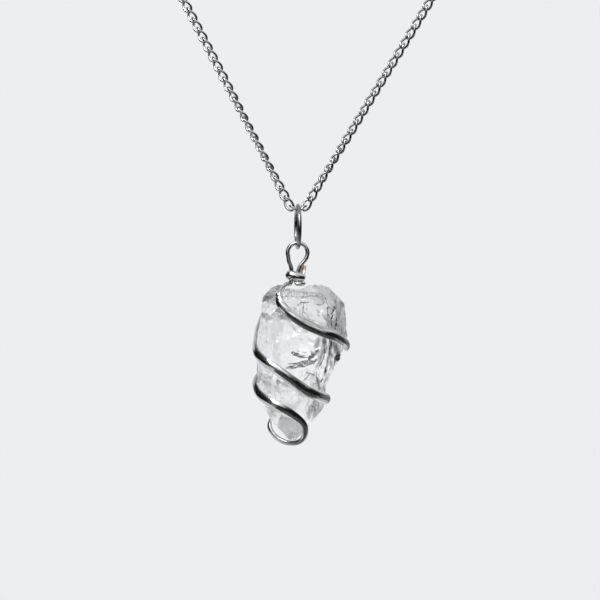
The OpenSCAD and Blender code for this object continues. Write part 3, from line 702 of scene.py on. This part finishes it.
def out_of_stone(points):
    """Mean distance outside the flat breaks and mean way out, both weighted towards the outermost one."""
    clear = points @ break_ways.T - break_distances
    pull = np.exp(BREAK_PULL * clear)
    return (pull * clear).sum(1) / pull.sum(1), pull @ break_ways / pull.sum(1)[:, None]


def seat_on_stone(points):
    """Lifts points that lie closer to the stone than the seat height out to it, in three steps."""
    points = points.copy()
    for _ in range(3):
        clear, way = out_of_stone(points)
        short = BAND_THICK / 2 + BAND_GAP + SEAT_MARGIN - clear
        lift = (short > 0) & (points[:, 2] <= STONE_TOP)
        points[lift] += (way * (short / (way ** 2).sum(1))[:, None])[lift]
    return points


def bell_mean(values, reach, spread):
    """Mean of each row with the rows up to a reach before and after it, weighted by a bell curve."""
    weights = np.exp(-0.5 * (np.arange(-reach, reach + 1) / spread) ** 2)
    weights /= weights.sum()
    return np.stack([np.convolve(np.pad(column, reach, "edge"), weights, "valid") for column in values.T], 1)


u = np.arange(0, len(ROUTE) - 1 + 1e-9, 1 / STEPS)
rows = smooth_route(u)
step_number = np.arange(len(u))
spiral_end = (len(SPIRAL) - 1) * STEPS
# The wire begins to turn into the neck band at the fourth row after the eye
neck_start = (len(SPIRAL) + len(STEM) + len(EYE) + 3) * STEPS
wire_path = rows[:, :3].copy()
wire_path[:spiral_end + 1] = seat_on_stone(wire_path[:spiral_end + 1])
# Stiff wire doesn't follow each edge of the stone: a mean over one row either side rounds its bends
rounded = bell_mean(wire_path, STEPS, 0.42 * STEPS)
wire_path[STEPS:spiral_end - STEPS] = rounded[STEPS:spiral_end - STEPS]
# The wide face looks away from the stone's surface and its axis
front = np.array([0, -1.0, 0])
off_stone = 0.75 * unit(out_of_stone(wire_path)[1]) + 0.25 * unit(wire_path * [1, 1, 0])
# It turns forward at the left of the coils, and more in the ring under the tip
COILS_LEFT, RING_TOP = -5, -12.5
left_turn = np.clip((COILS_LEFT - wire_path[:, :1]) / 2, 0, 1)
in_ring = np.clip((RING_TOP - wire_path[:, 2:]) / 1.5, 0, 1)
off_stone = unit(off_stone + front * (0.5 * left_turn + 1.8 * in_ring))
# On the left shoulder it looks to the left, comes round to the front on the way to the eye, and in
# the neck looks away from the neck's middle, with a hair's shift so that no way is without length
shoulder = np.array([-0.75, -0.6, -0.25])
from_neck = unit(np.stack([wire_path[:, 0] - NECK_RIGHT, wire_path[:, 1] - 1e-6, 0 * u], 1))
leave = np.clip(1 - (spiral_end - step_number) / (3 * STEPS), 0, 1)[:, None]
risen = np.clip((step_number - spiral_end) / (3 * STEPS), 0, 1)[:, None]
arrive = np.clip((step_number - neck_start) / (3 * STEPS), 0, 1)[:, None]
faces_to = np.where(step_number[:, None] <= spiral_end, off_stone * (1 - leave) + shoulder * leave,
                    (shoulder * (1 - risen) + front * risen) * (1 - arrive) + from_neck * arrive)
# It turns its face slowly too: a mean over three rows of the route either side
eased = bell_mean(faces_to, 3 * STEPS, 1.5 * STEPS)
faces_to = np.where(step_number[:, None] < spiral_end - 3 * STEPS, eased, faces_to)
# The cut end stands with its face to the back
turned_back = np.clip(1 - (len(u) - 1 - step_number) / (2 * STEPS), 0, 1)[:, None]
faces_to = faces_to * (1 - turned_back) - front * turned_back


def band_grid(path, looks, widths, thicks):
    """Carries a flattened section along a path. Where the wire is flat its outer side is a circular
    arch over its width and its inner side is flat with blunt edges, and where it is round both are
    half circles. It counts as flat from two and a half times as wide as thick."""
    along = unit(np.gradient(path, axis=0))
    away = unit(looks - (looks * along).sum(1, keepdims=True) * along)
    across = np.cross(along, away)
    b = 2 * np.pi * (np.arange(BAND_SIDES) + 0.5) / BAND_SIDES
    w, t = widths[:, None] / 2, thicks[:, None] / 2
    flat = np.clip((w / t - 1) / 1.5, 0, 1)
    rise = 1.5 * t
    arch_radius = (w * w + rise * rise) / (2 * rise)
    arch = t - arch_radius + np.sqrt(arch_radius ** 2 - (w * np.cos(b)) ** 2)
    flat_side = t - rise - (2 * t - rise) * np.abs(np.sin(b)) ** 0.4
    lift = t * np.sin(b) * (1 - flat) + np.where(np.sin(b) > 0, arch, flat_side) * flat
    return (path[:, None] + across[:, None] * (w * np.cos(b))[..., None] + away[:, None] * lift[..., None])


def rod_piece(name, grid, material):
    """A closed rod from rings of points, with a blunt end of two shrinking rings at each end."""
    def ends(ring, beyond):
        middle = ring.mean(0)
        way = unit(middle - beyond) * np.abs(ring - middle).max() * 0.35
        return [middle + (ring - middle) * 0.75 + way * 0.8, middle + (ring - middle) * 0.3 + way]
    first, last = ends(grid[0], grid[1].mean(0)), ends(grid[-1], grid[-2].mean(0))
    full = np.concatenate([[first[1], first[0]], grid, last])
    faces = rod_faces(len(full), full.shape[1])
    return new_piece(name, full.reshape(-1, 3) + STONE_CENTRE, faces, material)


wire_grid = band_grid(wire_path, faces_to, rows[:, 3], rows[:, 4])
bare_from = len(u) - 2 * STEPS

# Silver plate over copper, flattened with a hammer and polished: soft dents about 1.5 mm apart and
# fine drawn lines along the wire leave it bright on its crown and streaked grey along its flanks.
hammered = new_material("hammered_silver_plate")
place = add_node(hammered, "ShaderNodeTexCoord").outputs["Object"]
run = add_node(hammered, "ShaderNodeAttribute", {"attribute_name": "along_and_round"})
drawn_out = add_node(hammered, "ShaderNodeMapping", {"Scale": (0.4, 3.4, 3.4)}, Vector=run.outputs["Vector"])
lines = add_node(hammered, "ShaderNodeTexNoise", {"Scale": 1.0, "Detail": 4.0, "Roughness": 0.65},
                 Vector=drawn_out.outputs[0]).outputs["Fac"]
dents = add_node(hammered, "ShaderNodeTexNoise", {"Scale": 650.0, "Detail": 2.0}, Vector=place)
polish = add_node(hammered, "ShaderNodeMapRange", {
    "From Min": 0.35, "From Max": 0.68, "To Min": 0.06, "To Max": 0.27}, Value=lines)
dent_bump = add_node(hammered, "ShaderNodeBump", {"Strength": 0.2, "Distance": 0.1 * MM},
                     Height=dents.outputs["Fac"])
line_bump = add_node(hammered, "ShaderNodeBump", {"Strength": 0.5, "Distance": 0.1 * MM},
                     Height=lines, Normal=dent_bump.outputs[0])
dulled = add_node(hammered, "ShaderNodeMapRange", {"From Min": 0.42, "From Max": 0.62}, Value=lines)
plate = add_node(hammered, "ShaderNodeMix", {
    "data_type": "RGBA", 6: linear("#D4D4D2"), 7: linear("#969694")}, [dulled.outputs[0]])
metal = add_node(hammered, "ShaderNodeBsdfPrincipled", {"Metallic": 1.0}, Base_Color=plate.outputs[2],
                 Roughness=polish.outputs[0], Normal=line_bump.outputs[0])
add_node(hammered, "ShaderNodeOutputMaterial", Surface=metal.outputs[0])

wrap = rod_piece("wire_wrap", wire_grid[:bare_from + 1], hammered)
# For the drawn lines, each point holds its place along the wire in millimetres, and the cosine and
# sine of its place round it. The two rings of a blunt end count as a fifth of a millimetre each.
run_steps = np.linalg.norm(np.diff(wire_path[:bare_from + 1], axis=0), axis=1)
run_length = np.concatenate([[0], np.cumsum(run_steps)])
run_length = np.concatenate([[-0.4, -0.2], run_length, run_length[-1] + [0.2, 0.4]])
round_wire = 2 * np.pi * (np.arange(BAND_SIDES) + 0.5) / BAND_SIDES
along_and_round = np.stack([np.repeat(run_length, BAND_SIDES), np.tile(np.cos(round_wire), len(run_length)),
                            np.tile(np.sin(round_wire), len(run_length))], 1)
attribute = wrap.data.attributes.new("along_and_round", "FLOAT_VECTOR", "POINT")
attribute.data.foreach_set("vector", along_and_round.ravel())
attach(wrap, "pendant")
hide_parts("wire_wrap")

# The wire's cut end behind the neck, where the plate has worn off the copper core.
bare_copper = new_material("bare_copper_cut")
place = add_node(bare_copper, "ShaderNodeTexCoord").outputs["Object"]
worn = add_node(bare_copper, "ShaderNodeTexNoise", {"Scale": 1500.0, "Detail": 3.0}, Vector=place)
tarnish = add_node(bare_copper, "ShaderNodeMapRange", {"From Min": 0.35, "From Max": 0.65},
                   Value=worn.outputs["Fac"])
colour = add_node(bare_copper, "ShaderNodeMix", {
    "data_type": "RGBA", 6: linear("#E2C0B0"), 7: linear("#FFF4EE")}, [tarnish.outputs[0]])
metal = add_node(bare_copper, "ShaderNodeBsdfPrincipled", {"Metallic": 0.75, "Roughness": 0.4},
                 Base_Color=colour.outputs[2])
add_node(bare_copper, "ShaderNodeOutputMaterial", Surface=metal.outputs[0])
cut_end = rod_piece("copper_cut_end", wire_grid[bare_from:], bare_copper)
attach(cut_end, "pendant")

# Bring the scene up to date
bpy.context.view_layer.update()
